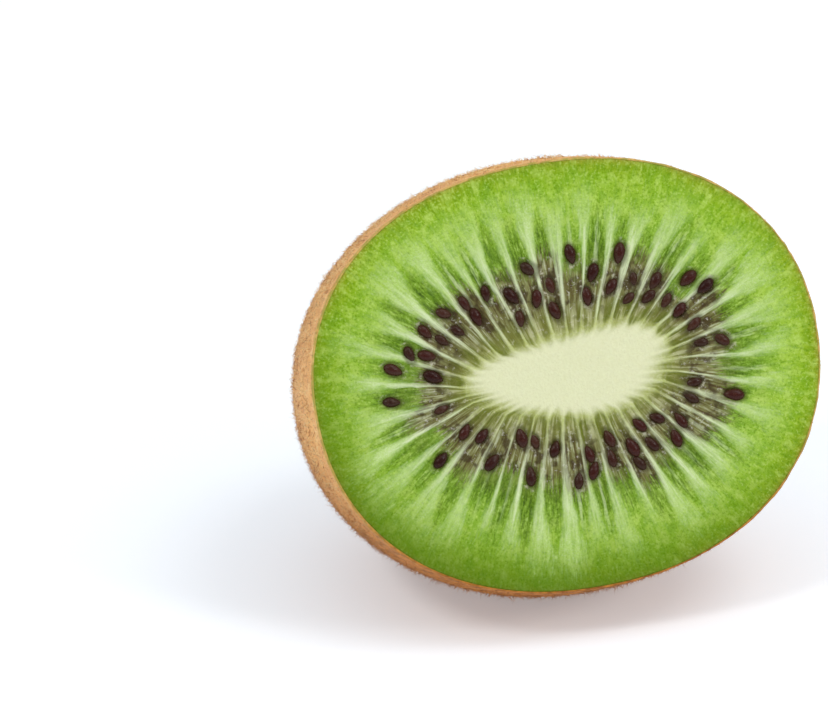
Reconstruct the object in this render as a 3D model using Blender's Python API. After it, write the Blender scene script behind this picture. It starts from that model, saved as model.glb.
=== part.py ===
"""Half of a hairy brown fruit with green flesh, cut straight across its axis.

The half lies on its rounded side with the cut face leaning back and looking
along -Y. Metres, +Z up, origin at the middle of the footprint on the table.
"""

import math
import random

import bmesh
import bpy
from mathutils import Matrix, Vector

# Cut face: a rounded oval, slightly fuller than an ellipse and a little uneven.
FACE_LONG = 0.0268
FACE_SHORT = 0.0220
FACE_POWER = 2.17
FACE_UNEVEN = 0.005

# Body behind the face: how deep it is, how far in it is widest, how blunt. A
# little way in it is rounder and higher than the cut, and sags.
DEPTH = 0.0360
WIDEST = 0.11
BODY_POWER = 2.35
ROUNDER_POWER = 2.05
ROUNDER_FROM = 0.0080
HIGHER = 0.026
SAG = 0.00026

# How the half rests: face leaning back, oval rolled a little, flat spot below.
LEAN = math.radians(22.0)
ROLL = math.radians(4.2)
FLAT_DEPTH = 0.00040

# Pale core in the middle of the face, blunt at +X and pointed at -X.
CORE_LONG = 0.0109
CORE_SHORT = 0.0042
CORE_EGG = 0.16
CORE_CENTRE = (-0.0002, -0.0001)
CORE_PROUD = 0.00022

# Rays of flesh from the core towards the rim, closer together above and below.
RAYS = 37
RAY_CROWDING = 0.25
RAY_PHASE = 0.87
RAY_RELIEF = 0.00011
SEED_BED_DEPTH = 0.00016

# Seeds: pointed ovals, half sunk in the soft flesh between two rays.
SEED_LONG = 0.00206
SEED_WIDE = 0.00126
SEED_THICK = 0.00108
SEED_ROWS = ((0.84, 0.21), (0.66, 0.35))
SEED_SPREAD = 0.10
SEED_GAP = 0.10
SEED_DRAW = 2279

# Scar at the far end, a sunken round with a knobbly ring and a middle knob.
SCAR_DEPTH = 0.0012
SCAR_INNER = 0.0036
SCAR_OUTER = 0.0064
SCAR_RING = 0.0030
SCAR_KNOBS = 7

# Mesh density.
COLUMNS = 2 * RAYS
FACE_RINGS = 16
BODY_RINGS = 18
SCAR_RINGS = 8


def smooth(low, high, value):
    """Ease from 0 at low to 1 at high."""
    share = min(max((value - low) / (high - low), 0.0), 1.0)
    return share * share * (3.0 - 2.0 * share)


def superellipse(angle, power):
    """Distance from the middle to a unit superellipse in one direction."""
    across = abs(math.cos(angle)) ** power
    up = abs(math.sin(angle)) ** power
    return (across + up) ** (-1.0 / power)


def outline(angle):
    """Point of the cut face's edge."""
    return body_point(angle, 0.0, 1.0)


def body_point(angle, depth, size):
    """Point of the body's ring at a depth, with size 1 at the cut face."""
    inside = smooth(0.0, ROUNDER_FROM, depth)
    reach = superellipse(angle, FACE_POWER + (ROUNDER_POWER - FACE_POWER) * inside)
    reach *= 1.0 + FACE_UNEVEN * (1.0 - inside) * math.sin(3.0 * angle)
    across = FACE_LONG * reach * math.cos(angle)
    up = FACE_SHORT * reach * math.sin(angle) * (1.0 + HIGHER * inside)
    return across * size, (up - SAG * inside) * size


def core_edge(angle):
    """Point of the core's edge, fuller towards +X."""
    fuller = 1.0 + CORE_EGG * math.cos(angle)
    return (
        CORE_CENTRE[0] + CORE_LONG * math.cos(angle),
        CORE_CENTRE[1] + CORE_SHORT * fuller * math.sin(angle),
    )


def ray_angle(place):
    """Angle of a place counted in rays; whole numbers lie on a ray."""
    even = 2.0 * math.pi * (place + RAY_PHASE) / RAYS
    angle = even
    for _ in range(30):
        angle = even + 0.5 * RAY_CROWDING * math.sin(2.0 * angle)
    return angle


def face_point(place, out):
    """Point of the face: out is 0 on the core's edge and 1 on the rim."""
    angle = ray_angle(place)
    inner = core_edge(angle)
    outer = outline(angle)
    return (
        inner[0] + (outer[0] - inner[0]) * out,
        inner[1] + (outer[1] - inner[1]) * out,
    )


def face_height(place, out):
    """Relief of the cut: proud core, sunk seed bed, low rays, level rim."""
    core = CORE_PROUD * (1.0 - smooth(0.0, 0.07, out))
    bed = SEED_BED_DEPTH * smooth(0.02, 0.14, out) * (1.0 - smooth(0.3, 0.5, out))
    rays = RAY_RELIEF * math.cos(2.0 * math.pi * place)
    rays *= smooth(0.04, 0.18, out) * (1.0 - smooth(0.6, 0.86, out))
    return core - bed + rays


def body_rings():
    """Rings of the body as (depth, size) with size 1 at the cut face."""
    wide = -WIDEST / (1.0 - WIDEST)
    cut = (1.0 - abs(wide) ** BODY_POWER) ** (1.0 / BODY_POWER)
    middle = 0.5 * (FACE_LONG + FACE_SHORT)
    last = (SCAR_OUTER + 0.0006) / middle * cut
    last_depth = (1.0 - last ** BODY_POWER) ** (1.0 / BODY_POWER)
    first_turn = math.atan2(wide, cut)
    last_turn = math.atan2(last_depth, last)
    rings = []
    for step in range(BODY_RINGS + 1):
        turn = first_turn + (last_turn - first_turn) * step / BODY_RINGS
        reach = superellipse(turn, BODY_POWER)
        rings.append((reach * math.sin(turn), reach * math.cos(turn)))
    for step in range(1, SCAR_RINGS + 1):
        size = last + (0.0006 / middle - last) * step / SCAR_RINGS
        rings.append(((1.0 - size ** BODY_POWER) ** (1.0 / BODY_POWER), size))
    rings.append((1.0, 0.0))
    span = 1.0 - wide
    return [(DEPTH * (depth - wide) / span, size / cut) for depth, size in rings]


def scar_relief(radius, angle):
    """How far the far end's scar goes in; knobs and ring stand back out."""
    sunk = SCAR_DEPTH * (1.0 - smooth(SCAR_INNER, SCAR_OUTER, radius))
    knobs = 0.7 + 0.3 * math.cos(SCAR_KNOBS * angle)
    ring = 0.00055 * knobs * math.exp(-((radius - SCAR_RING) / 0.0008) ** 2)
    knob = 0.0006 * math.exp(-(radius / 0.0009) ** 2)
    return sunk - ring - knob


def rest_matrix():
    """Turn from the fruit's own axes to the way the half lies."""
    across = Vector((1.0, 0.0, 0.0))
    up = Vector((0.0, math.sin(LEAN), math.cos(LEAN)))
    out = Vector((0.0, -math.cos(LEAN), math.sin(LEAN)))
    long_way = across * math.cos(ROLL) + up * math.sin(ROLL)
    short_way = up * math.cos(ROLL) - across * math.sin(ROLL)
    return Matrix((long_way, short_way, out)).transposed()


def body_mesh():
    """Closed body: cut face, skin side and scar, with the flat spot below."""
    turn = rest_matrix()
    bm = bmesh.new()
    loops = []

    for share in (0.4, 0.75):
        loop = []
        for column in range(COLUMNS):
            x, y = face_point(column / 2.0, 0.0)
            x = CORE_CENTRE[0] + (x - CORE_CENTRE[0]) * share
            y = CORE_CENTRE[1] + (y - CORE_CENTRE[1]) * share
            loop.append(bm.verts.new(turn @ Vector((x, y, CORE_PROUD))))
        loops.append(loop)

    for ring in range(FACE_RINGS):
        out = (ring / FACE_RINGS) ** 1.1
        loop = []
        for column in range(COLUMNS):
            x, y = face_point(column / 2.0, out)
            height = face_height(column / 2.0, out)
            loop.append(bm.verts.new(turn @ Vector((x, y, height))))
        loops.append(loop)

    rings = body_rings()
    for depth, size in rings[:-1]:
        loop = []
        for column in range(COLUMNS):
            angle = ray_angle(column / 2.0)
            x, y = body_point(angle, depth, size)
            height = scar_relief(math.hypot(x, y), angle) - depth
            loop.append(bm.verts.new(turn @ Vector((x, y, height))))
        loops.append(loop)

    for first, second in zip(loops, loops[1:]):
        for column in range(COLUMNS):
            after = (column + 1) % COLUMNS
            bm.faces.new((first[column], second[column], second[after], first[after]))

    middle = bm.verts.new(turn @ Vector((CORE_CENTRE[0], CORE_CENTRE[1], CORE_PROUD)))
    end = bm.verts.new(turn @ Vector((0.0, 0.0, scar_relief(0.0, 0.0) - DEPTH)))
    for column in range(COLUMNS):
        after = (column + 1) % COLUMNS
        bm.faces.new((middle, loops[0][column], loops[0][after]))
        bm.faces.new((end, loops[-1][after], loops[-1][column]))

    floor = min(vert.co.z for vert in bm.verts) + FLAT_DEPTH
    for vert in bm.verts:
        vert.co.z = max(vert.co.z, floor)

    low = Vector([min(vert.co[axis] for vert in bm.verts) for axis in range(3)])
    high = Vector([max(vert.co[axis] for vert in bm.verts) for axis in range(3)])
    shift = Vector((-(low.x + high.x) / 2.0, -(low.y + high.y) / 2.0, -floor))
    bmesh.ops.translate(bm, verts=bm.verts, vec=shift)
    mesh = bpy.data.meshes.new("kiwi_half")
    bm.to_mesh(mesh)
    bm.free()
    return mesh, shift


def seed_places():
    """Where the seeds lie, as (place, out, heading, height, growth)."""
    draw = random.Random(SEED_DRAW)
    places = []
    for gap in range(RAYS):
        taken = 0.0
        for chance, row in SEED_ROWS:
            kept = draw.random() < chance
            place = gap + 0.5 + draw.uniform(-0.19, 0.19)
            ends = 0.07 * abs(math.cos(ray_angle(place))) ** 3
            out = max(row + ends + draw.uniform(-SEED_SPREAD, SEED_SPREAD), taken)
            heading = draw.gauss(0.0, math.radians(23.0))
            height = -draw.uniform(0.06, 0.34) * 0.001
            growth = draw.uniform(0.86, 1.12)
            if kept:
                places.append((place, out, heading, height, growth))
                taken = out + SEED_GAP
    return places


def add_seeds(shift):
    """One small closed seed for each place, in a collection of their own."""
    turn = rest_matrix()
    collection = bpy.data.collections.new("seeds")
    bpy.context.scene.collection.children.link(collection)
    for number, (place, out, heading, height, growth) in enumerate(seed_places()):
        x, y = face_point(place, out)
        ahead = face_point(place, out + 0.05)
        heading += math.atan2(ahead[1] - y, ahead[0] - x)
        bm = bmesh.new()
        bmesh.ops.create_uvsphere(bm, u_segments=7, v_segments=4, radius=0.5)
        for vert in bm.verts:
            along = vert.co.z
            taper = 1.0 - 0.35 * (along - 0.5) ** 2
            vert.co = Vector((
                along * SEED_LONG * growth,
                vert.co.x * SEED_WIDE * growth * taper,
                vert.co.y * SEED_THICK * growth * taper,
            ))
        flat = Matrix.Rotation(heading, 3, "Z")
        rise = height + face_height(place, out)
        for vert in bm.verts:
            vert.co = turn @ (flat @ vert.co + Vector((x, y, rise))) + shift
        mesh = bpy.data.meshes.new(f"seed_{number:02d}")
        bm.to_mesh(mesh)
        bm.free()
        collection.objects.link(bpy.data.objects.new(mesh.name, mesh))
    return collection


def flesh_material():
    """Wet green flesh."""
    material = bpy.data.materials.new("flesh")
    material.use_nodes = True
    shader = material.node_tree.nodes["Principled BSDF"]
    shader.inputs["Base Color"].default_value = (0.22, 0.42, 0.06, 1.0)
    shader.inputs["Roughness"].default_value = 0.35
    shader.inputs["Metallic"].default_value = 0.0
    return material


def main():
    """Clear the scene, make the body, fuse the seeds to it."""
    for thing in list(bpy.data.objects):
        bpy.data.objects.remove(thing, do_unlink=True)

    mesh, shift = body_mesh()
    half = bpy.data.objects.new("kiwi_half", mesh)
    bpy.context.scene.collection.objects.link(half)
    half.data.materials.append(flesh_material())

    seeds = add_seeds(shift)
    union = half.modifiers.new("seeds", "BOOLEAN")
    union.operation = "UNION"
    union.operand_type = "COLLECTION"
    union.collection = seeds
    bpy.context.view_layer.update()
    graph = bpy.context.evaluated_depsgraph_get()
    fused = bpy.data.meshes.new_from_object(half.evaluated_get(graph))
    half.modifiers.remove(union)
    half.data = fused
    fused.name = "kiwi_half"
    for thing in list(seeds.objects):
        bpy.data.objects.remove(thing, do_unlink=True)
    bpy.data.collections.remove(seeds)
    fused.shade_smooth()
    fused.set_sharp_from_angle(angle=math.radians(40.0))


main()
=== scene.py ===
import math
import random

import bpy
import numpy as np
from mathutils import Matrix, Vector


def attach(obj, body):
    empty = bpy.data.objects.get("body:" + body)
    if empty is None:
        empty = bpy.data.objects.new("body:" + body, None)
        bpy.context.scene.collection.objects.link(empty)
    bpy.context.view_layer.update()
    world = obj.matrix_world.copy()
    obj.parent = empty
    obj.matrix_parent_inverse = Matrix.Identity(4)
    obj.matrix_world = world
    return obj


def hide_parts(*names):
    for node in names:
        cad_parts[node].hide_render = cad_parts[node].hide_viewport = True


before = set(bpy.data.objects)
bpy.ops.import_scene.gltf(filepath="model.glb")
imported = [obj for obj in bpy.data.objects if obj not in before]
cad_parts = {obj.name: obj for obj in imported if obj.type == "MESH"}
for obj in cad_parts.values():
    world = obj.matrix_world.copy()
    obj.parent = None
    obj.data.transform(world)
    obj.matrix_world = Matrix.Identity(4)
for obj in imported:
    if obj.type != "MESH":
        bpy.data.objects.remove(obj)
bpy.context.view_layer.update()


# Camera.
# It looks at the cut face from the left and a little above, half a metre off,
# with the fruit right of the middle of the picture.
FACE_MIDDLE = Vector((0.000012, -0.013459, 0.026559))
CAMERA_TURN = math.radians(-13.5)
CAMERA_RISE = math.radians(22.26)
CAMERA_AWAY = 0.500
CAMERA_LENS = 213.0
FRUIT_RIGHT = 0.01590
FRUIT_DOWN = 0.00139

backward = Vector((
    math.sin(CAMERA_TURN) * math.cos(CAMERA_RISE),
    -math.cos(CAMERA_TURN) * math.cos(CAMERA_RISE),
    math.sin(CAMERA_RISE),
))
rightward = Vector((math.cos(CAMERA_TURN), math.sin(CAMERA_TURN), 0.0))
upward = backward.cross(rightward)
camera = bpy.data.cameras.new("camera")
camera.lens = CAMERA_LENS
camera.sensor_width = 36.0
camera.clip_start = 0.01
camera_stand = bpy.data.objects.new("camera", camera)
bpy.context.scene.collection.objects.link(camera_stand)
bpy.context.scene.camera = camera_stand
place = FACE_MIDDLE + backward * CAMERA_AWAY - rightward * FRUIT_RIGHT + upward * FRUIT_DOWN
camera_stand.matrix_world = Matrix.Translation(place) @ Matrix(
    (rightward, upward, backward)
).transposed().to_4x4()


# Skin.
# A thin brown leathery skin, grown in one piece over the rounded side, with a
# clean cut edge round the face and a sunken knobbly scar at the far end.
FACE_LONG = 0.0268
FACE_SHORT = 0.0220
FACE_POWER = 2.17
FACE_UNEVEN = 0.005
DEPTH = 0.0360
WIDEST = 0.11
BODY_POWER = 2.35
ROUNDER_POWER = 2.05
ROUNDER_FROM = 0.0080
HIGHER = 0.026
SAG = 0.00026
LEAN = math.radians(22.0)
ROLL = math.radians(4.2)
SKIN_THICK = 0.00019
SCAR_DEPTH = 0.0012
SCAR_INNER = 0.0036
SCAR_OUTER = 0.0064
SCAR_FADE = 0.0012
SCAR_MARGIN = 0.0006
SCAR_RING = 0.0030
SCAR_RING_WIDE = 0.0008
SCAR_RING_HIGH = 0.00055
SCAR_KNOB_WIDE = 0.0009
SCAR_KNOB_HIGH = 0.0006
SCAR_KNOBS = 7
RAYS = 37
RAY_CROWDING = 0.25
RAY_PHASE = 0.87
SKIN_COLUMNS = 8 * RAYS
SKIN_RINGS = 100
SCAR_RINGS = 46
INNER_GAP = 0.00035
INNER_RISE = 0.00010
CUT_EDGE = (
    (SKIN_THICK, -0.0006),
    (SKIN_THICK, -0.00002),
    (SKIN_THICK * 0.8, 0.00003),
    (SKIN_THICK * 0.4, 0.00003),
    (0.00002, -0.00002),
)
SKIN_LUMPS = ((0.00005, 0.0030, 1), (0.00006, 0.0010, 2), (0.00003, 0.0005, 3))
SCAR_CRAGS = ((0.00028, 0.0011, 4), (0.00014, 0.0005, 5))
# Painted shade towards the table: the height where it starts, the height where it is full, and its
# greatest share.
PAINTED_SHADE_FROM = 0.024
PAINTED_SHADE_FULL = 0.007
PAINTED_SHADE_MOST = 0.90


def smooth(low, high, value):
    """Ease from 0 at low to 1 at high."""
    share = np.clip((value - low) / (high - low), 0.0, 1.0)
    return share * share * (3.0 - 2.0 * share)


def superellipse(angle, power):
    """Distance from the middle to a unit superellipse in one direction."""
    across = np.abs(np.cos(angle)) ** power
    up = np.abs(np.sin(angle)) ** power
    return (across + up) ** (-1.0 / power)


def outline(angle):
    """Points of the cut face's edge."""
    return body_point(angle, 0.0, 1.0)


def body_point(angle, depth, size):
    """Points of the skin's rings at a depth, with size 1 at the cut face."""
    inside = smooth(0.0, ROUNDER_FROM, depth)
    reach = superellipse(angle, FACE_POWER + (ROUNDER_POWER - FACE_POWER) * inside)
    reach = reach * (1.0 + FACE_UNEVEN * (1.0 - inside) * np.sin(3.0 * angle))
    across = FACE_LONG * reach * np.cos(angle)
    up = FACE_SHORT * reach * np.sin(angle) * (1.0 + HIGHER * inside)
    return across * size, (up - SAG * inside) * size


def ray_angle(place):
    """Angles of places counted in rays; whole numbers lie on a ray."""
    even = 2.0 * np.pi * (np.asarray(place, dtype=float) + RAY_PHASE) / RAYS
    angle = even
    for _ in range(30):
        angle = even + 0.5 * RAY_CROWDING * np.sin(2.0 * angle)
    return angle


def grain(points, size, salt):
    """Smooth random lumps of the given size, -1 to 1, from a hash of each cell."""
    spot = np.asarray(points, dtype=float) / size
    cell = np.floor(spot).astype(np.int64)
    part = spot - cell
    part = part * part * (3.0 - 2.0 * part)
    total = np.zeros(len(spot))
    for corner in np.ndindex(2, 2, 2):
        key = (cell[:, 0] + corner[0]) * 73856093
        key ^= (cell[:, 1] + corner[1]) * 19349663
        key ^= (cell[:, 2] + corner[2]) * 83492791
        key ^= salt * 26544357
        key = (key ^ (key >> 13)) * 1274126177 & 0xFFFFFFFF
        value = ((key ^ (key >> 16)) & 0xFFFF) / 32767.5 - 1.0
        weight = np.where(corner, part, 1.0 - part).prod(axis=1)
        total += weight * value
    return total


def lumps(points, layers):
    """Lumps of several kinds together, as (height, size, salt)."""
    return sum(height * grain(points, size, salt) for height, size, salt in layers)


def lay_down(points):
    """Turn points from the fruit's own axes to the way the half lies."""
    lean = Matrix.Rotation(math.radians(90.0) - LEAN, 3, "X")
    turn = np.array(lean @ Matrix.Rotation(ROLL, 3, "Z"))
    laid = points @ turn.T + np.array(FACE_MIDDLE)
    laid[..., 2] = np.maximum(laid[..., 2], 0.0)
    return laid


def body_profile():
    """Depth and size of the skin's rings, from the cut to the far end."""
    wide = -WIDEST / (1.0 - WIDEST)
    cut = (1.0 - abs(wide) ** BODY_POWER) ** (1.0 / BODY_POWER)
    middle = 0.5 * (FACE_LONG + FACE_SHORT)
    last = (SCAR_OUTER + SCAR_MARGIN) / middle * cut
    last_depth = (1.0 - last ** BODY_POWER) ** (1.0 / BODY_POWER)
    turn = np.linspace(math.atan2(wide, cut), math.atan2(last_depth, last), SKIN_RINGS)
    reach = superellipse(turn, BODY_POWER)
    end = np.linspace(last, 0.0, SCAR_RINGS)[1:]
    size = np.concatenate((reach * np.cos(turn), end))
    end_depth = (1.0 - end ** BODY_POWER) ** (1.0 / BODY_POWER)
    depth = np.concatenate((reach * np.sin(turn), end_depth))
    return DEPTH * (depth - wide) / (1.0 - wide), size / cut


def scar_relief(radius, angle):
    """How far the far end's scar goes in; knobs and ring stand back out."""
    sunk = SCAR_DEPTH * (1.0 - smooth(SCAR_INNER, SCAR_OUTER, radius))
    knobs = 0.7 + 0.3 * np.cos(SCAR_KNOBS * angle)
    ring = SCAR_RING_HIGH * knobs * np.exp(-((radius - SCAR_RING) / SCAR_RING_WIDE) ** 2)
    knob = SCAR_KNOB_HIGH * np.exp(-(radius / SCAR_KNOB_WIDE) ** 2)
    return sunk - ring - knob


def loft(name, loops, start, end):
    """Mesh through closed loops of points, with a middle point at either end."""
    rings, columns = loops.shape[:2]
    points = np.vstack((loops.reshape(-1, 3), start, end))
    hub = rings * columns
    index = np.arange(hub).reshape(rings, columns)
    after = np.roll(index, -1, axis=1)
    quads = np.stack((index[:-1], index[1:], after[1:], after[:-1]), axis=-1)
    faces = quads.reshape(-1, 4).tolist()
    faces += [(hub, a, b) for a, b in zip(index[0].tolist(), after[0].tolist())]
    faces += [(hub + 1, b, a) for a, b in zip(index[-1].tolist(), after[-1].tolist())]
    mesh = bpy.data.meshes.new(name)
    mesh.from_pydata(points.tolist(), [], faces)
    mesh.shade_smooth()
    return mesh


def shift_along_normals(mesh, amount):
    """Move each point out by its own amount."""
    count = len(mesh.vertices)
    spots = np.empty(count * 3)
    mesh.vertices.foreach_get("co", spots)
    normals = np.empty(count * 3)
    mesh.vertex_normals.foreach_get("vector", normals)
    moved = spots.reshape(-1, 3) + normals.reshape(-1, 3) * amount[:, None]
    moved[:, 2] = np.maximum(moved[:, 2], 0.0)
    mesh.vertices.foreach_set("co", moved.ravel())
    mesh.update()


def mark(mesh, name, values):
    """Give each point of a mesh a value that its material can read."""
    layer = mesh.attributes.new(name, "FLOAT", "POINT")
    layer.data.foreach_set("value", np.ascontiguousarray(values, dtype=np.float32))


def paint(red, green, blue):
    """Colour as the eye sees it, 0 to 255, turned into light."""
    shares = [channel / 255.0 for channel in (red, green, blue)]
    light = [s / 12.92 if s <= 0.04045 else ((s + 0.055) / 1.055) ** 2.4 for s in shares]
    return (*light, 1.0)


def new_material(name):
    """Empty material: its node tree, its shader and the object's coordinates."""
    material = bpy.data.materials.new(name)
    material.use_nodes = True
    tree = material.node_tree
    shader = tree.nodes["Principled BSDF"]
    where = tree.nodes.new("ShaderNodeTexCoord").outputs["Object"]
    return material, tree, shader, where


def connect(tree, source, socket):
    """Link a socket, or set a plain value."""
    if isinstance(source, bpy.types.NodeSocket):
        tree.links.new(source, socket)
    else:
        socket.default_value = source


def marked(tree, name):
    """Read a value marked on the mesh."""
    node = tree.nodes.new("ShaderNodeAttribute")
    node.attribute_name = name
    return node.outputs["Fac"]


def speckle(tree, where, size, detail=2.0, rough=0.5):
    """Noise with lumps of the given size in metres, about 0 to 1."""
    node = tree.nodes.new("ShaderNodeTexNoise")
    node.inputs["Scale"].default_value = 1.0 / size
    node.inputs["Detail"].default_value = detail
    node.inputs["Roughness"].default_value = rough
    tree.links.new(where, node.inputs["Vector"])
    return node.outputs["Fac"]


def sums(tree, operation, first, second=0.0, third=0.0):
    """One step of arithmetic."""
    node = tree.nodes.new("ShaderNodeMath")
    node.operation = operation
    for source, socket in zip((first, second, third), node.inputs):
        connect(tree, source, socket)
    return node.outputs["Value"]


def product(tree, *values):
    """Several values multiplied."""
    result = values[0]
    for value in values[1:]:
        result = sums(tree, "MULTIPLY", result, value)
    return result


def stretch(tree, value, low, high, first=0.0, last=1.0):
    """Map low..high smoothly onto first..last."""
    node = tree.nodes.new("ShaderNodeMapRange")
    node.interpolation_type = "SMOOTHSTEP"
    connect(tree, value, node.inputs["Value"])
    names = ("From Min", "From Max", "To Min", "To Max")
    for name, amount in zip(names, (low, high, first, last)):
        node.inputs[name].default_value = amount
    return node.outputs["Result"]


def blend_colours(tree, share, first, second):
    """Mix two colours by a share."""
    node = tree.nodes.new("ShaderNodeMix")
    node.data_type = "RGBA"
    connect(tree, share, node.inputs["Factor"])
    sockets = [socket for socket in node.inputs if socket.type == "RGBA"]
    connect(tree, first, sockets[0])
    connect(tree, second, sockets[1])
    return [socket for socket in node.outputs if socket.type == "RGBA"][0]


def overlay(tree, colour, layers):
    """Lay colours on a colour, as (pattern, where none shows, where most, share, tone)."""
    for pattern, none, full, most, tone in layers:
        share = stretch(tree, pattern, none, full, 0.0, most)
        colour = blend_colours(tree, share, colour, paint(*tone))
    return colour


def colour_steps(tree, value, steps):
    """Colours along a value, as (value, tone) pairs."""
    node = tree.nodes.new("ShaderNodeValToRGB")
    stops = node.color_ramp.elements
    while len(stops) < len(steps):
        stops.new(1.0)
    for stop, (spot, tone) in zip(stops, steps):
        stop.position = spot
        stop.color = paint(*tone)
    connect(tree, value, node.inputs["Fac"])
    return node.outputs["Color"]


def painted_shade_below(tree, where, colour):
    """Painted shade: a mottled brown that deepens towards the table."""
    height = tree.nodes.new("ShaderNodeSeparateXYZ")
    tree.links.new(where, height.inputs["Vector"])
    share = stretch(tree, height.outputs["Z"], PAINTED_SHADE_FROM, PAINTED_SHADE_FULL, 0.0, PAINTED_SHADE_MOST)
    mottle = stretch(tree, speckle(tree, where, 0.0008, 3.0), 0.32, 0.72)
    brown = blend_colours(tree, mottle, paint(190, 118, 42), paint(126, 64, 16))
    return blend_colours(tree, share, colour, brown)


def surface(tree, shader, colour, roughness, shine):
    """Colour, roughness and shine of a material."""
    connect(tree, colour, shader.inputs["Base Color"])
    connect(tree, roughness, shader.inputs["Roughness"])
    connect(tree, shine, shader.inputs["Specular IOR Level"])


def raise_surface(tree, shader, height, depth, strength):
    """Fine relief: height 0 to 1 stands for the given depth in metres."""
    node = tree.nodes.new("ShaderNodeBump")
    node.inputs["Strength"].default_value = strength
    node.inputs["Distance"].default_value = depth
    tree.links.new(height, node.inputs["Height"])
    tree.links.new(node.outputs["Normal"], shader.inputs["Normal"])


def piece(name, mesh, material):
    """Put a mesh in the scene as a piece of the fruit."""
    thing = bpy.data.objects.new(name, mesh)
    bpy.context.scene.collection.objects.link(thing)
    mesh.materials.append(material)
    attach(thing, "root")
    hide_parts("kiwi_half")
    return thing


column_angle = ray_angle(np.arange(SKIN_COLUMNS) * RAYS / SKIN_COLUMNS)
edge_x, edge_y = outline(column_angle)
ring_depth, ring_size = body_profile()
outer = np.empty((len(ring_depth), SKIN_COLUMNS, 3))
outer[..., 0], outer[..., 1] = body_point(column_angle, ring_depth[:, None], ring_size[:, None])
ring_radius = np.hypot(outer[..., 0], outer[..., 1])
outer[..., 2] = scar_relief(ring_radius, column_angle[None, :]) - ring_depth[:, None]
edge_radius = np.hypot(edge_x, edge_y)


def edge_loop(inset, height):
    """Loop beside the cut edge, moved inwards and up or down."""
    size = 1.0 - inset / edge_radius
    return np.stack((edge_x * size, edge_y * size, np.full_like(edge_x, height)), axis=-1)


inner = outer[2:-12:8] * (1.0 - INNER_GAP / FACE_SHORT)
inner[..., 2] += INNER_RISE
cut_loops = [edge_loop(inset, height) for inset, height in CUT_EDGE]
skin_loops = np.concatenate((inner[::-1], cut_loops, outer[1:-1]))
skin_mesh = loft(
    "skin",
    lay_down(skin_loops),
    start=lay_down(inner[-1].mean(axis=0)[None]),
    end=lay_down(np.array([[0.0, 0.0, outer[-1, 0, 2]]])),
)
loose = np.array([vert.co[:] for vert in skin_mesh.vertices])
loop_radius = np.hypot(skin_loops[..., 0], skin_loops[..., 1])
flat_radius = np.concatenate((loop_radius.ravel(), (0.0, 0.0)))
flat_height = np.concatenate((skin_loops[..., 2].ravel(), (0.0, -DEPTH)))
at_scar = smooth(SCAR_OUTER + SCAR_FADE, SCAR_INNER, flat_radius)
at_scar *= smooth(-0.02, -0.03, flat_height)
outside = np.ones(len(loose))
outside[: (len(inner) + 3) * SKIN_COLUMNS] = 0.0
crags = at_scar * lumps(loose, SCAR_CRAGS)
shift_along_normals(skin_mesh, outside * (lumps(loose, SKIN_LUMPS) + crags))
mark(skin_mesh, "scar", at_scar * (0.6 + 0.4 * grain(loose, 0.0008, 6)))
mark(skin_mesh, "cut", smooth(-0.00060, -0.00004, flat_height))
mark(skin_mesh, "far", smooth(-0.006, -0.020, flat_height))

skin_material, tree, shader, where = new_material("hairy_brown_skin")
broad = speckle(tree, where, 0.0065, 3.0)
patch = speckle(tree, where, 0.0016, 4.0, 0.6)
dots = speckle(tree, where, 0.00042, 2.0, 0.6)
skin_colour = colour_steps(tree, patch, (
    (0.30, (222, 158, 90)),
    (0.50, (244, 184, 112)),
    (0.68, (253, 210, 144)),
))
skin_colour = overlay(tree, skin_colour, (
    (broad, 0.42, 0.66, 0.45, (236, 178, 124)),
    (dots, 0.54, 0.68, 0.65, (166, 92, 44)),
))
browner = product(tree, marked(tree, "far"), stretch(tree, patch, 0.72, 0.34, 0.40, 0.80))
skin_colour = blend_colours(tree, browner, skin_colour, paint(170, 108, 58))
broken = stretch(tree, speckle(tree, where, 0.0009, 2.0), 0.40, 0.60, 0.50, 0.95)
cut_line = product(tree, marked(tree, "cut"), broken)
skin_colour = blend_colours(tree, cut_line, skin_colour, paint(168, 156, 70))
# Painted shade: the skin turns a darker mottled brown towards the table.
skin_colour = painted_shade_below(tree, where, skin_colour)
skin_colour = blend_colours(tree, marked(tree, "scar"), skin_colour, paint(112, 64, 36))
surface(tree, shader, skin_colour, stretch(tree, patch, 0.3, 0.7, 0.62, 0.82), 0.2)
raise_surface(tree, shader, sums(tree, "ADD", dots, patch), 0.00020, 0.8)
piece("skin", skin_mesh, skin_material)


# Hairs.
# Short stiff hairs all over the skin, lying back towards the far end; they
# grow out of the skin, some fine and golden, some thicker and red-brown.
HAIR_KINDS = (
    ("fine_hairs", 21500, 0.00064, 0.000044, 0.75, 11),
    ("brown_hairs", 13000, 0.00076, 0.000066, 0.26, 12),
)
HAIR_COLOURS = {
    "fine_hairs": ("golden_hair", (242, 184, 114), (255, 236, 178)),
    "brown_hairs": ("brown_hair", (164, 94, 48), (240, 178, 112)),
}
HAIR_LONG = (0.5, 1.15)
HAIR_THICK = (0.7, 1.25)
HAIR_CURL = (-0.35, 0.2)
HAIR_SWING = 0.75
HAIR_RISE = 0.16
HAIR_SINK = 0.00004
HAIR_BEND_THICK = 0.36
HAIR_SIDES = 3
HAIR_POINTS = 2 * HAIR_SIDES + 1


def unit(vectors):
    """The same directions, with length one."""
    return vectors / (np.linalg.norm(vectors, axis=1)[:, None] + 1e-9)


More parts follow.
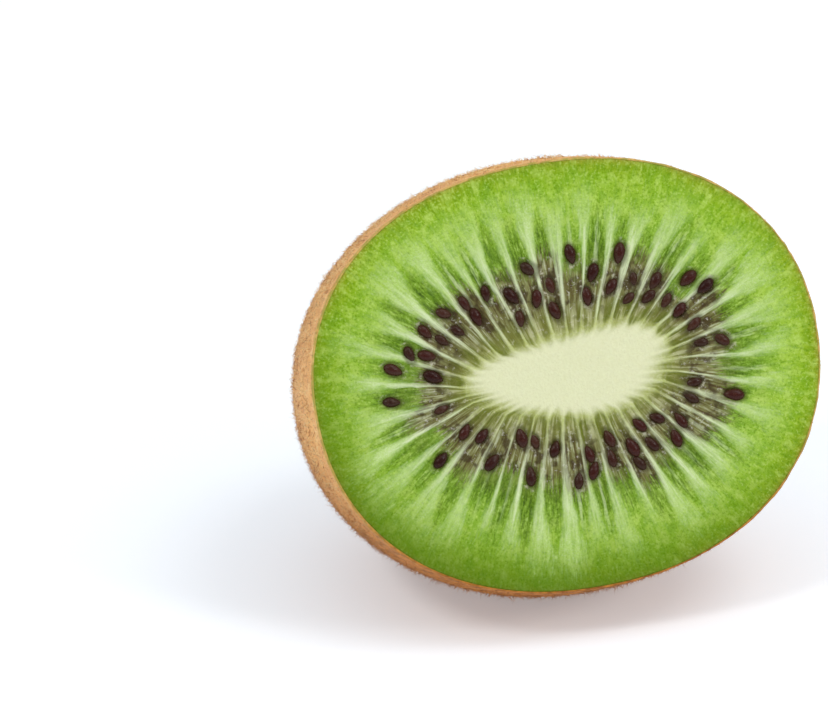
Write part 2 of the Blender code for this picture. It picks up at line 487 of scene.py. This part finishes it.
def hair_mesh(name, count, length, width, lift, salt):
    """Curved three-sided hairs in one mesh, tapering to a point."""
    draw = np.random.default_rng(salt)
    ring_step = np.hypot(np.diff(ring_depth), np.diff(ring_size) * FACE_SHORT)
    travel = np.concatenate(([0.0], np.cumsum(ring_step)))
    ring_area = ring_step * 0.5 * (ring_size[1:] + ring_size[:-1])
    spread = np.concatenate(([0.0], np.cumsum(ring_area)))
    along = np.interp(draw.random(count) * spread[-1], spread, travel)
    around = draw.random(count) * 2.0 * np.pi

    def on_skin(way, turn):
        depth = np.interp(way, travel, ring_depth)
        x, y = body_point(turn, depth, np.interp(way, travel, ring_size))
        height = scar_relief(np.hypot(x, y), turn) - depth
        return np.stack((x, y, height), axis=-1)

    root = on_skin(along, around)
    back = unit(on_skin(along + 0.0003, around) - root)
    side = unit(on_skin(along, around + 0.01) - root)
    out = unit(np.cross(side, back))
    out *= np.sign((out * root).sum(axis=1))[:, None]
    swing = draw.normal(0.0, HAIR_SWING, count)[:, None]
    heading = back * np.cos(swing) + side * np.sin(swing)
    long = draw.uniform(*HAIR_LONG, count) + 1.1 * draw.random(count) ** 7
    long = (length * long * (0.35 + 0.65 * smooth(0.0, 0.004, along)))[:, None]
    rise = np.clip(draw.normal(lift, HAIR_RISE, count), 0.04, 1.1)[:, None]
    curl = draw.uniform(*HAIR_CURL, count)[:, None]
    first = heading * np.cos(rise) + out * np.sin(rise)
    second = heading * np.cos(rise + curl) + out * np.sin(rise + curl)
    across = unit(np.cross(first, out))
    lift_way = np.cross(across, first)
    thick = width * draw.uniform(*HAIR_THICK, count)[:, None]
    start = root - out * HAIR_SINK
    bend = start + first * long * 0.5
    tip = bend + second * long * 0.5
    points = np.empty((count, HAIR_POINTS, 3))
    faces, tips = [], []
    for corner in range(HAIR_SIDES):
        turn = 2.0 * np.pi * corner / HAIR_SIDES
        offset = across * math.cos(turn) + lift_way * math.sin(turn)
        points[:, corner] = start + offset * thick * 0.5
        points[:, corner + HAIR_SIDES] = bend + offset * thick * HAIR_BEND_THICK
        after = (corner + 1) % HAIR_SIDES
        faces.append((corner, after, after + HAIR_SIDES, corner + HAIR_SIDES))
        tips.append((corner + HAIR_SIDES, after + HAIR_SIDES, 2 * HAIR_SIDES))
    points[:, -1] = tip
    base = np.arange(count) * HAIR_POINTS
    quads = (np.array(faces)[None] + base[:, None, None]).reshape(-1, 4).tolist()
    ends = (np.array(tips)[None] + base[:, None, None]).reshape(-1, 3).tolist()
    mesh = bpy.data.meshes.new(name)
    mesh.from_pydata(lay_down(points.reshape(-1, 3)).tolist(), [], quads + ends)
    mesh.shade_smooth()
    tint = draw.random(count) * (1.0 - 0.7 * smooth(0.005, 0.016, along))
    mark(mesh, "tint", np.repeat(tint, HAIR_POINTS))
    return mesh


def hair_material(name, dark, light):
    """Dry brown hair, each one a little lighter or darker."""
    material, tree, shader, where = new_material(name)
    tint = product(tree, speckle(tree, where, 0.0030, 2.0), 0.5)
    tint = sums(tree, "ADD", marked(tree, "tint"), tint)
    colour = blend_colours(tree, stretch(tree, tint, 0.1, 1.4), paint(*dark), paint(*light))
    # Painted shade: the hairs turn a darker mottled brown towards the table.
    colour = painted_shade_below(tree, where, colour)
    surface(tree, shader, colour, 0.55, 0.3)
    return material


for kind in HAIR_KINDS:
    name = kind[0]
    piece(name, hair_mesh(*kind), hair_material(*HAIR_COLOURS[name]))


# Flesh.
# Wet green flesh inside the skin, cut flat: a pale core, pale rays running
# out from it, dark juicy lobes between the rays and a grainy green outer part.
CORE_LONG = 0.0109
CORE_SHORT = 0.0042
CORE_EGG = 0.16
CORE_CENTRE = (-0.0002, -0.0001)
CORE_PROUD = 0.00022
CORE_TO_RIM = 0.018
RAY_RELIEF = 0.00011
RAY_WIDTHS = {
    0.0: 0.07, 0.15: 0.07, 0.30: 0.08, 0.45: 0.12, 0.60: 0.19, 0.70: 0.27, 0.80: 0.40,
}
SEED_BED_DEPTH = 0.00016
PALE_HIGH = 0.00006
LOBE_DEEP = 0.00006
POCKET_DEEP = 0.00008
SAC_HIGH = 0.00004
SEED_DIP = 0.00012
CELL_HIGH = 0.000022
STROKE_HIGH = 0.000030
WET_HIGH = 0.00004
SWELL_HIGH = 0.00006
RIM_SUNK = 0.00004
WALL_DROPS = (0.0004, 0.0012)
FLOOR_SIZE = 0.6
FLOOR_DROP = 0.0008
FLOOR_MIDDLE = 0.0022
FLESH_COLUMNS = 16 * RAYS
FLESH_RINGS = 120
CORE_RINGS = 16
SEED_LONG = 0.00206
SEED_WIDE = 0.00126
SEED_THICK = 0.00108
SEED_ROWS = ((0.84, 0.21), (0.66, 0.35))
SEED_SPREAD = 0.10
SEED_SIDEWAYS = 0.19
SEED_GAP = 0.10
SEED_TURN = math.radians(23.0)
SEED_SUNK = (0.06, 0.34)
SEED_GROWTH = (0.86, 1.12)
ROW_ENDS = 0.07
SEED_DRAW = 2279


def core_edge(angle):
    """Points of the core's edge, fuller towards +X."""
    fuller = 1.0 + CORE_EGG * np.cos(angle)
    return (
        CORE_CENTRE[0] + CORE_LONG * np.cos(angle),
        CORE_CENTRE[1] + CORE_SHORT * fuller * np.sin(angle),
    )


def face_point(place, out):
    """Points of the face: out is 0 on the core's edge and 1 on the rim."""
    angle = ray_angle(place)
    inner_x, inner_y = core_edge(angle)
    outer_x, outer_y = outline(angle)
    return inner_x + (outer_x - inner_x) * out, inner_y + (outer_y - inner_y) * out


def face_height(place, out):
    """Main relief of the cut: proud core, sunk seed bed, low rays, level rim."""
    core = CORE_PROUD * (1.0 - smooth(0.0, 0.07, out))
    bed = SEED_BED_DEPTH * smooth(0.02, 0.14, out) * (1.0 - smooth(0.3, 0.5, out))
    rays = RAY_RELIEF * np.cos(2.0 * np.pi * place)
    rays = rays * smooth(0.04, 0.18, out) * (1.0 - smooth(0.6, 0.86, out))
    return core - bed + rays


def seed_places():
    """Where the seeds lie, as rows of place, out, heading, height, growth."""
    draw = random.Random(SEED_DRAW)
    places = []
    for gap in range(RAYS):
        taken = 0.0
        for chance, row in SEED_ROWS:
            kept = draw.random() < chance
            place = gap + 0.5 + draw.uniform(-SEED_SIDEWAYS, SEED_SIDEWAYS)
            ends = ROW_ENDS * abs(math.cos(float(ray_angle(place)))) ** 3
            out = max(row + ends + draw.uniform(-SEED_SPREAD, SEED_SPREAD), taken)
            heading = draw.gauss(0.0, SEED_TURN)
            height = -draw.uniform(*SEED_SUNK) * 0.001
            growth = draw.uniform(*SEED_GROWTH)
            if kept:
                places.append((place, out, heading, height, growth))
                taken = out + SEED_GAP
    return np.array(places)


def between(values, spot):
    """Values given one for each ray, eased from one ray to the next."""
    first = np.floor(spot).astype(int)
    share = smooth(0.0, 1.0, spot - first)
    return values[first % RAYS] * (1.0 - share) + values[(first + 1) % RAYS] * share


def ring_space(place, out, length):
    """Coordinates for grain that runs round the face without a seam."""
    turn = 2.0 * np.pi * place / RAYS
    reach = RAYS / (2.0 * np.pi)
    return np.stack((reach * np.cos(turn), reach * np.sin(turn), out * length), axis=-1)


seeds = seed_places()
seed_x, seed_y = face_point(seeds[:, 0], seeds[:, 1])
ahead_x, ahead_y = face_point(seeds[:, 0], seeds[:, 1] + 0.05)
seed_turn = seeds[:, 2] + np.arctan2(ahead_y - seed_y, ahead_x - seed_x)

rim_share = 1.0 - SKIN_THICK / CORE_TO_RIM
place = np.arange(FLESH_COLUMNS) * RAYS / FLESH_COLUMNS
shares = np.linspace(0.0, 1.0, CORE_RINGS + 1)[1:-1]
outs = np.linspace(0.0, 1.0, FLESH_RINGS) ** 1.04 * rim_share
core_x, core_y = core_edge(ray_angle(place))
inside = np.stack((
    CORE_CENTRE[0] + (core_x - CORE_CENTRE[0]) * shares[:, None],
    CORE_CENTRE[1] + (core_y - CORE_CENTRE[1]) * shares[:, None],
), axis=-1)
field_x, field_y = face_point(place[None, :], outs[:, None])
flat = np.concatenate((inside, np.stack((field_x, field_y), axis=-1)))
out = np.repeat(np.concatenate(((shares - 1.0) * 0.3, outs)), FLESH_COLUMNS)
place = np.tile(place, len(flat))
flat = flat.reshape(-1, 2)
spots = np.column_stack((flat, np.zeros(len(flat))))

draw = np.random.default_rng(21)
ray_width = draw.uniform(0.65, 1.45, RAYS)
ray_pale = draw.uniform(0.60, 1.0, RAYS)
ray_reach = draw.uniform(0.64, 0.84, RAYS)
lobe_reach = draw.uniform(0.58, 0.78, RAYS)
lobe_dark = draw.uniform(0.60, 1.0, RAYS)
bed_reach = draw.uniform(0.28, 0.50, RAYS)
thread = np.clip(draw.uniform(-0.8, 1.0, RAYS), 0.0, 0.4)

sway = 0.20 * grain(ring_space(place, out, 3.5), 1.5, 31) * smooth(-0.1, 0.3, out)
spot = place + sway
off_ray = np.abs(spot - np.round(spot))
gap = np.floor(spot).astype(int) % RAYS
half_width = np.interp(out, list(RAY_WIDTHS), list(RAY_WIDTHS.values()))
half_width *= between(ray_width, spot)
ray = 1.0 - smooth(half_width - 0.07, half_width + 0.09, off_ray)
pale = ray * (1.0 - smooth(-0.12, 0.10, out - between(ray_reach, spot))) * smooth(0.0, 0.08, out)
lobe = (1.0 - ray) * smooth(0.30, 0.42, out) * (1.0 - smooth(-0.16, 0.04, out - lobe_reach[gap]))
bed = (1.0 - ray) * smooth(0.00, 0.05, out) * (1.0 - smooth(-0.08, 0.05, out - bed_reach[gap]))

bent = spot + 0.12 * grain(ring_space(place, out, 3.0), 0.8, 34)
finger_middle = np.floor(bent) + 0.5
across = np.abs(bent - finger_middle) / 0.43
finger = np.sqrt(np.clip(1.0 - across ** 2, 0.0, 1.0))
bent_gap = np.floor(bent).astype(int) % RAYS
split = draw.uniform(0.0, 1.0, RAYS)[bent_gap] ** 2
finger_dark = draw.uniform(0.45, 1.0, RAYS)[bent_gap]
finger_tip = draw.uniform(0.025, 0.078, RAYS)[bent_gap]
finger_dark *= 1.0 - split * np.exp(-((bent - finger_middle) / 0.08) ** 2)
turn = ray_angle(place)
core_share = 1.05 + 0.03 * np.cos(turn) + 0.04 * np.sin(turn)
core_share += 0.06 * np.sin(3.0 * turn - 0.45) - 0.02 * np.cos(4.0 * turn)
core_line = (core_share - 1.0) * np.where(core_share < 1.0, 0.30, 0.45)
core_line += 0.012 * grain(ring_space(place, out * 0.0, 1.0), 0.45, 39)
core = 1.0 - smooth(-0.090, 0.070, out - core_line - 0.008 + 0.024 * finger ** 2)
beyond = out - core_line - 0.020 + finger_tip * finger
pocket = smooth(0.0, 0.5, finger) * smooth(-0.008, 0.028, beyond)
pocket *= 1.0 - smooth(0.08, 0.20, beyond)
pocket_edge = np.maximum(1.0 - smooth(0.60, 0.95, finger), 1.0 - smooth(0.02, 0.07, beyond))
pocket *= 0.60 + 0.40 * pocket_edge

near = np.full(len(flat), 9.0)
for x, y, turn, growth in zip(seed_x, seed_y, seed_turn, seeds[:, 4]):
    side_x, side_y = flat[:, 0] - x, flat[:, 1] - y
    along = side_x * math.cos(turn) + side_y * math.sin(turn)
    across = side_y * math.cos(turn) - side_x * math.sin(turn)
    reach = np.hypot(along / (SEED_LONG / 2.0), across / (SEED_WIDE / 2.0)) / growth
    near = np.minimum(near, reach)
sac = np.exp(-((near - 1.28) / 0.20) ** 2) * smooth(-0.2, 0.5, grain(spots, 0.0007, 40))

wet = grain(spots, 0.00042, 36)
cells = grain(spots, 0.00034, 37)
strokes = grain(ring_space(place, out, 1.25), 0.11, 32)
height = face_height(place, np.maximum(out, 0.0))
height += PALE_HIGH * pale - LOBE_DEEP * lobe - POCKET_DEEP * pocket
height += SAC_HIGH * sac - SEED_DIP * (1.0 - smooth(0.8, 1.25, near))
height += CELL_HIGH * cells * smooth(0.3, 0.7, out) * (1.0 - smooth(0.97, 1.0, out))
height += STROKE_HIGH * strokes * smooth(0.2, 0.5, out) * (1.0 - smooth(0.8, 1.0, out))
height += WET_HIGH * wet * bed
height += SWELL_HIGH * grain(spots, 0.0045, 38) * (1.0 - smooth(0.9, 1.0, out))
height -= RIM_SUNK * smooth(0.965, 0.99, out)
top = np.column_stack((flat, height)).reshape(-1, FLESH_COLUMNS, 3)

wall = []
for drop in WALL_DROPS:
    ring = top[-1].copy()
    ring[:, 2] = -drop
    wall.append(ring)
floor_ring = wall[-1].copy()
floor_ring[:, :2] *= FLOOR_SIZE
floor_ring[:, 2] -= FLOOR_DROP
flesh_loops = np.concatenate((top, wall, [floor_ring]))
flesh_mesh = loft(
    "flesh",
    lay_down(flesh_loops),
    start=lay_down(np.array([[*CORE_CENTRE, CORE_PROUD]])),
    end=lay_down(np.array([[0.0, 0.0, -FLOOR_MIDDLE]])),
)
spare = (len(WALL_DROPS) + 1) * FLESH_COLUMNS
# Painted shade: a share that grows towards the bottom and left of the cut face, where the outer
# flesh is painted darker.
low = smooth(-0.3, 1.1, -0.9 * flat[:, 1] / FACE_SHORT - 0.5 * flat[:, 0] / FACE_LONG)
for name, values, hub in (
    ("out", out, -0.3), ("turn_sin", np.sin(2.0 * np.pi * spot), 0.0),
    ("turn_cos", np.cos(2.0 * np.pi * spot), 0.0), ("half_width", half_width, 0.1),
    ("ray_strength", between(ray_pale, spot), 0.0), ("ray_end", between(ray_reach, spot), 0.6),
    ("lobe_end", lobe_reach[gap], 0.7), ("lobe_strength", lobe_dark[gap], 0.0),
    ("bed_end", bed_reach[gap], 0.4), ("thread", thread[gap], 0.0),
    ("core", core, 1.0), ("beyond", beyond, -0.3),
    ("pocket", pocket, 0.0), ("pocket_strength", finger_dark, 0.0),
    ("near", np.minimum(near, 4.0), 4.0), ("sac", sac, 0.0), ("low", low, 0.0),
):
    mark(flesh_mesh, name, np.concatenate((values, np.full(spare, values[-1]), (hub, 0.0))))
around = np.vstack((ring_space(place, out, 1.25), np.zeros((spare + 2, 3))))
around_layer = flesh_mesh.attributes.new("around", "FLOAT_VECTOR", "POINT")
around_layer.data.foreach_set("vector", around.astype(np.float32).ravel())


def less(tree, first, second):
    """First minus second."""
    return sums(tree, "SUBTRACT", first, second)


def around_way(tree, length):
    """Coordinates round and along the rays; greater length makes longer marks."""
    node = tree.nodes.new("ShaderNodeAttribute")
    node.attribute_name = "around"
    scale = tree.nodes.new("ShaderNodeVectorMath")
    scale.operation = "MULTIPLY"
    scale.inputs[1].default_value = (1.0, 1.0, 1.0 / length)
    tree.links.new(node.outputs["Vector"], scale.inputs[0])
    return scale.outputs["Vector"]


flesh_material, tree, shader, where = new_material("wet_green_flesh")
dots = speckle(tree, where, 0.00026, 2.0, 0.6)
dust = speckle(tree, where, 0.00015, 1.0)
drift = speckle(tree, where, 0.0050, 2.0)
blots = speckle(tree, where, 0.0011, 2.0, 0.5)
glints = speckle(tree, where, 0.00048, 3.0, 0.7)
strokes = speckle(tree, around_way(tree, 1.0), 0.12, 3.0, 0.6)
fine_strokes = speckle(tree, around_way(tree, 1.0), 0.060, 2.0, 0.6)
fibres = speckle(tree, around_way(tree, 1.8), 0.13, 3.0, 0.6)
flesh_out = marked(tree, "out")
turn_of_ray = sums(tree, "ARCTAN2", marked(tree, "turn_sin"), marked(tree, "turn_cos"))
bends = speckle(tree, around_way(tree, 1.6), 0.50, 2.0, 0.6)
strands = speckle(tree, around_way(tree, 1.2), 0.30, 3.0, 0.6)
bends = product(tree, less(tree, bends, 0.5), 0.36)
off_ray = sums(tree, "MULTIPLY_ADD", turn_of_ray, 0.5 / math.pi, bends)
off_ray = sums(tree, "ABSOLUTE", off_ray)
frayed = product(tree, less(tree, strokes, 0.5), stretch(tree, flesh_out, 0.2, 0.75, 0.16, 0.50))
off_ray = sums(tree, "ADD", frayed, off_ray)
beside_ray = less(tree, off_ray, marked(tree, "half_width"))
beside_ray = product(tree, beside_ray, stretch(tree, flesh_out, 0.25, 0.65, 1.0, 0.45))
ray = stretch(tree, beside_ray, 0.06, -0.05)
rough_out = sums(tree, "MULTIPLY_ADD", less(tree, fine_strokes, 0.5), 0.30, flesh_out)
pale = product(
    tree, ray, stretch(tree, less(tree, rough_out, marked(tree, "ray_end")), 0.14, -0.16),
    marked(tree, "ray_strength"), stretch(tree, fibres, 0.32, 0.60, 0.45, 1.0),
    stretch(tree, flesh_out, 0.0, 0.25, 0.75, 1.0),
)
gap = stretch(tree, beside_ray, -0.04, 0.08)
lobe = product(
    tree, gap, stretch(tree, less(tree, rough_out, marked(tree, "lobe_end")), 0.08, -0.24),
    stretch(tree, rough_out, 0.28, 0.42), marked(tree, "lobe_strength"),
)
bed = product(
    tree, stretch(tree, less(tree, rough_out, marked(tree, "bed_end")), 0.06, -0.08),
    stretch(tree, marked(tree, "beyond"), -0.12, -0.05),
)

uneven_out = sums(tree, "MULTIPLY_ADD", less(tree, blots, 0.5), 0.06, flesh_out)
flesh_colour = colour_steps(tree, uneven_out, (
    (0.30, (104, 142, 36)),
    (0.60, (148, 182, 62)),
    (0.76, (156, 190, 58)),
    (0.88, (144, 178, 30)),
    (0.955, (136, 160, 12)),
    (0.99, (156, 148, 42)),
))
flesh_colour = overlay(tree, flesh_colour, (
    (drift, 0.35, 0.70, 0.40, (118, 168, 12)),
    (strokes, 0.50, 0.68, 0.45, (184, 212, 98)),
    (strokes, 0.48, 0.34, 0.40, (94, 140, 2)),
    (blots, 0.42, 0.66, 0.40, (104, 152, 16)),
    (blots, 0.48, 0.32, 0.30, (184, 206, 104)),
    (dots, 0.54, 0.70, 0.42, (198, 222, 118)),
    (dots, 0.46, 0.32, 0.45, (82, 126, 0)),
))
# Painted shade: the outer flesh darkens towards the bottom and left of the face.
shaded = product(tree, marked(tree, "low"), stretch(tree, flesh_out, 0.55, 1.0, 0.0, 0.75))
flesh_colour = blend_colours(tree, shaded, flesh_colour, paint(74, 108, 0))

lobe_pattern = sums(tree, "MULTIPLY_ADD", dots, 0.25, product(tree, strokes, 0.75))
lobe_colour = colour_steps(tree, lobe_pattern, (
    (0.36, (50, 76, 2)),
    (0.47, (80, 112, 10)),
    (0.57, (114, 148, 36)),
    (0.68, (166, 192, 104)),
))
lobe_colour = overlay(tree, lobe_colour, ((flesh_out, 0.52, 0.36, 0.50, (82, 82, 28)),))
flesh_colour = blend_colours(tree, lobe, flesh_colour, lobe_colour)

bed_colour = colour_steps(tree, fibres, (
    (0.34, (82, 68, 34)),
    (0.46, (108, 104, 56)),
    (0.56, (132, 132, 82)),
    (0.66, (174, 176, 140)),
))
bed_colour = overlay(tree, bed_colour, (
    (blots, 0.46, 0.62, 0.85, (64, 50, 24)),
    (glints, 0.58, 0.70, 0.65, (196, 190, 180)),
))
near_colour = colour_steps(tree, strands, (
    (0.36, (110, 108, 48)),
    (0.50, (140, 140, 80)),
    (0.64, (180, 180, 134)),
))
near_colour = overlay(tree, near_colour, (
    (glints, 0.56, 0.68, 0.60, (204, 200, 172)),
    (blots, 0.48, 0.62, 0.50, (84, 84, 28)),
))
near_core = stretch(tree, marked(tree, "beyond"), 0.18, 0.07)
bed_colour = blend_colours(tree, near_core, bed_colour, near_colour)
flesh_colour = blend_colours(tree, bed, flesh_colour, bed_colour)

ray_colour = colour_steps(tree, flesh_out, (
    (0.05, (192, 198, 128)),
    (0.20, (190, 194, 156)),
    (0.34, (202, 210, 170)),
    (0.50, (194, 214, 146)),
    (0.75, (178, 206, 112)),
))
ray_colour = overlay(tree, ray_colour, ((dust, 0.40, 0.70, 0.40, (216, 228, 186)),))
flesh_colour = blend_colours(tree, pale, flesh_colour, ray_colour)
vein = product(
    tree, stretch(tree, off_ray, 0.11, 0.00), marked(tree, "ray_strength"),
    stretch(tree, flesh_out, 0.03, 0.12), stretch(tree, flesh_out, 0.78, 0.45),
    stretch(tree, fibres, 0.38, 0.60, 0.05, 0.6),
)
thread = product(
    tree, stretch(tree, off_ray, 0.38, 0.49), marked(tree, "thread"),
    stretch(tree, flesh_out, 0.26, 0.38), stretch(tree, flesh_out, 0.74, 0.50),
    stretch(tree, fibres, 0.36, 0.56, 0.2, 1.0),
)
fine_lines = sums(tree, "MAXIMUM", vein, thread)
flesh_colour = blend_colours(tree, fine_lines, flesh_colour, paint(214, 224, 180))

# Painted shade: the flesh darkens round each seed.
flesh_colour = overlay(tree, flesh_colour, ((marked(tree, "near"), 1.6, 0.9, 0.60, (50, 36, 16)),))
sac_glint = product(tree, marked(tree, "sac"), stretch(tree, glints, 0.45, 0.65, 0.0, 0.8))
flesh_colour = blend_colours(tree, sac_glint, flesh_colour, paint(192, 188, 162))

core_share = stretch(tree, marked(tree, "core"), 0.30, 1.0)
core_colour = blend_colours(tree, core_share, paint(182, 194, 96), paint(219, 219, 178))
core_colour = overlay(tree, core_colour, ((dots, 0.40, 0.70, 0.40, (226, 228, 190)),))
flesh_colour = blend_colours(tree, marked(tree, "core"), flesh_colour, core_colour)

pocket_share = product(
    tree, marked(tree, "pocket"), marked(tree, "pocket_strength"),
    stretch(tree, strands, 0.62, 0.44, 0.25, 1.0),
)
pocket_colour = blend_colours(tree, fibres, paint(68, 78, 4), paint(120, 130, 40))
flesh_colour = blend_colours(tree, pocket_share, flesh_colour, pocket_colour)

surface(tree, shader, flesh_colour, stretch(tree, dots, 0.3, 0.7, 0.24, 0.46), 0.15)
shader.inputs["Subsurface Weight"].default_value = 0.12
shader.inputs["Subsurface Radius"].default_value = (0.8, 1.0, 0.4)
shader.inputs["Subsurface Scale"].default_value = 0.0006
strokes_outside = product(tree, fine_strokes, stretch(tree, flesh_out, 0.0, 0.15))
raise_surface(tree, shader, sums(tree, "ADD", dots, strokes_outside), 0.00012, 0.65)
piece("flesh", flesh_mesh, flesh_material)


# Seeds.
# Small hard dark seeds, half sunk in the soft flesh between two rays, pointed
# towards the core; a film of juice leaves the deeper ones grey and dull.
SEED_SIDES = 20
SEED_STEPS = 14
SEED_BLUNT = 0.56
SEED_POINTED = 0.35
SEED_ROUGH = 0.03
FILM_FROM = 0.00030
FILM_FULL = 0.00006

steps = np.linspace(-1.0, 1.0, SEED_STEPS + 2)[1:-1]
steps = np.sin(steps * np.pi / 2.0)
taper = 1.0 - SEED_POINTED * (steps / 2.0 - 0.5) ** 2
wide = (1.0 - steps ** 2) ** SEED_BLUNT * taper
sides = np.arange(SEED_SIDES) * 2.0 * np.pi / SEED_SIDES
seed_points, seed_faces, seed_tint, seed_film = [], [], [], []
draw = np.random.default_rng(41)
for number, (seat, out, _, height, growth) in enumerate(seeds):
    rings = np.empty((SEED_STEPS, SEED_SIDES, 3))
    rings[..., 0] = (steps * SEED_LONG / 2.0)[:, None]
    rings[..., 1] = wide[:, None] * np.cos(sides) * SEED_WIDE / 2.0
    rings[..., 2] = wide[:, None] * np.sin(sides) * SEED_THICK / 2.0
    body = rings.reshape(-1, 3)
    ends = np.array([[-SEED_LONG / 2.0, 0.0, 0.0], [SEED_LONG / 2.0, 0.0, 0.0]])
    body = np.vstack((body, ends)) * growth
    body *= 1.0 + SEED_ROUGH * grain(body + number, 0.0004, 42)[:, None]
    turn = np.array(Matrix.Rotation(float(seed_turn[number]), 3, "Z"))
    body = body @ turn.T
    rise = height + float(face_height(seat, out))
    film = smooth(FILM_FROM, FILM_FULL, body[:, 2] + height)
    body += np.array((seed_x[number], seed_y[number], rise))
    first = number * len(body)
    index = first + np.arange(SEED_STEPS * SEED_SIDES).reshape(SEED_STEPS, SEED_SIDES)
    after = np.roll(index, -1, axis=1)
    quads = np.stack((index[:-1], after[:-1], after[1:], index[1:]), axis=-1)
    seed_faces += quads.reshape(-1, 4).tolist()
    low, high = first + len(body) - 2, first + len(body) - 1
    seed_faces += [(low, b, a) for a, b in zip(index[0].tolist(), after[0].tolist())]
    seed_faces += [(high, a, b) for a, b in zip(index[-1].tolist(), after[-1].tolist())]
    seed_points.append(body)
    seed_tint.append(np.full(len(body), draw.random()))
    seed_film.append(film)

seed_mesh = bpy.data.meshes.new("seeds")
seed_mesh.from_pydata(lay_down(np.vstack(seed_points)).tolist(), [], seed_faces)
seed_mesh.shade_smooth()
mark(seed_mesh, "tint", np.concatenate(seed_tint))
mark(seed_mesh, "film", np.concatenate(seed_film))

seed_material, tree, shader, where = new_material("dark_seed_coat")
pits = speckle(tree, where, 0.00022, 2.0, 0.6)
seed_colour = blend_colours(tree, marked(tree, "tint"), paint(38, 9, 4), paint(60, 22, 16))
seed_colour = overlay(tree, seed_colour, ((pits, 0.52, 0.80, 0.50, (84, 50, 34)),))
film_share = product(tree, marked(tree, "film"), 0.30)
seed_colour = blend_colours(tree, film_share, seed_colour, paint(80, 62, 42))
surface(tree, shader, seed_colour, stretch(tree, pits, 0.3, 0.7, 0.18, 0.34), 0.16)
raise_surface(tree, shader, pits, 0.00004, 0.6)
piece("seeds", seed_mesh, seed_material)


# Table and light.
# A plain white table in a bright room, with a large lamp above on the right
# and two lower ones in front, which leave a soft shadow under the fruit.
TABLE_REACH = 3.0
TABLE_DROP = 0.0001
TABLE_GLOW = 0.27
TABLE_TINT = (0.93, 0.99, 1.04, 1.0)
SKY_LOW = 0.28
SKY_HIGH = 0.76
SKY_TINT = (0.92, 0.98, 1.05, 1.0)
LAMP_COLOUR = (1.0, 0.975, 0.94)
LAMP_AIM = Vector((0.0, 0.0, 0.02))
LAMPS = (
    ("lamp_above_right", (0.40, -0.30, 0.90), 0.45, 2.2),
    ("lamp_front_right", (0.62, -0.60, 0.52), 0.25, 1.8),
    ("lamp_front_left", (-0.60, -0.40, 0.75), 0.20, 2.2),
)

table = bpy.data.meshes.new("table")
corners = [
    (x * TABLE_REACH, y * TABLE_REACH, 0.0) for x, y in ((-1, -1), (1, -1), (1, 1), (-1, 1))
]
table.from_pydata(corners, [], [(0, 1, 2, 3)])
table_stand = bpy.data.objects.new("table", table)
table_stand.location = (0.0, 0.0, -TABLE_DROP)
bpy.context.scene.collection.objects.link(table_stand)
table_material, tree, shader, _ = new_material("white_table")
surface(tree, shader, paint(238, 242, 246), 0.7, 0.1)
shader.inputs["Emission Color"].default_value = TABLE_TINT
shader.inputs["Emission Strength"].default_value = TABLE_GLOW
table.materials.append(table_material)

world = bpy.data.worlds.new("studio")
world.use_nodes = True
sky = world.node_tree
up = sky.nodes.new("ShaderNodeSeparateXYZ")
sky.links.new(sky.nodes.new("ShaderNodeTexCoord").outputs["Generated"], up.inputs["Vector"])
glow = stretch(sky, up.outputs["Z"], -0.1, 1.0, SKY_LOW, SKY_HIGH)
sky.nodes["Background"].inputs["Color"].default_value = SKY_TINT
sky.links.new(glow, sky.nodes["Background"].inputs["Strength"])
bpy.context.scene.world = world
bpy.context.scene.view_settings.view_transform = "Standard"

for name, spot, size, power in LAMPS:
    light = bpy.data.lights.new(name, "AREA")
    light.size = size
    light.energy = power
    light.color = LAMP_COLOUR
    stand = bpy.data.objects.new(name, light)
    stand.location = spot
    aim = LAMP_AIM - stand.location
    stand.rotation_euler = aim.to_track_quat("-Z", "Y").to_euler()
    bpy.context.scene.collection.objects.link(stand)
